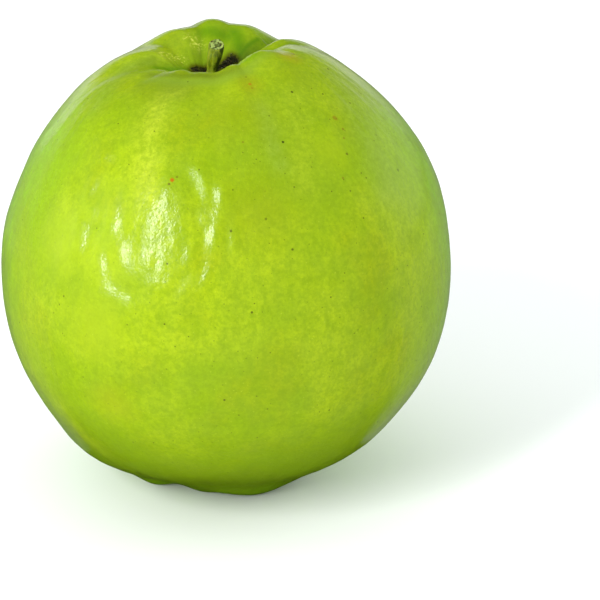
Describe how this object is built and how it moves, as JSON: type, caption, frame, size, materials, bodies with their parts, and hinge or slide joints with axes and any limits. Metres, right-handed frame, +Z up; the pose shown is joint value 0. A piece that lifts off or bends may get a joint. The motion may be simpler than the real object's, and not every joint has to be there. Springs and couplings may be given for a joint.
{
  "type": "guava",
  "caption": "Round green guava as picked, with lobes and creases round the stem hollow, a short stem stub and dried sepals in the basin underneath.",
  "frame": {"origin": "middle of the object's box, at the level of the surface it stands on", "axes": "+Z up through the stem, the pictured side faces -Y"},
  "size_m": [0.1, 0.1, 0.1025],
  "materials": {
    "skin": "waxy fresh fruit skin, satin to glossy, with fine pores",
    "stem": "matte green bark with a rough pale cut end",
    "sepal": "matte, dried and brittle"
  },
  "bodies": {
    "root": {"fruit": "skin", "stem_stub": "stem", "sepal_1": "sepal", "sepal_2": "sepal", "sepal_3": "sepal", "sepal_4": "sepal", "sepal_5": "sepal"}
  },
  "joints": []
}
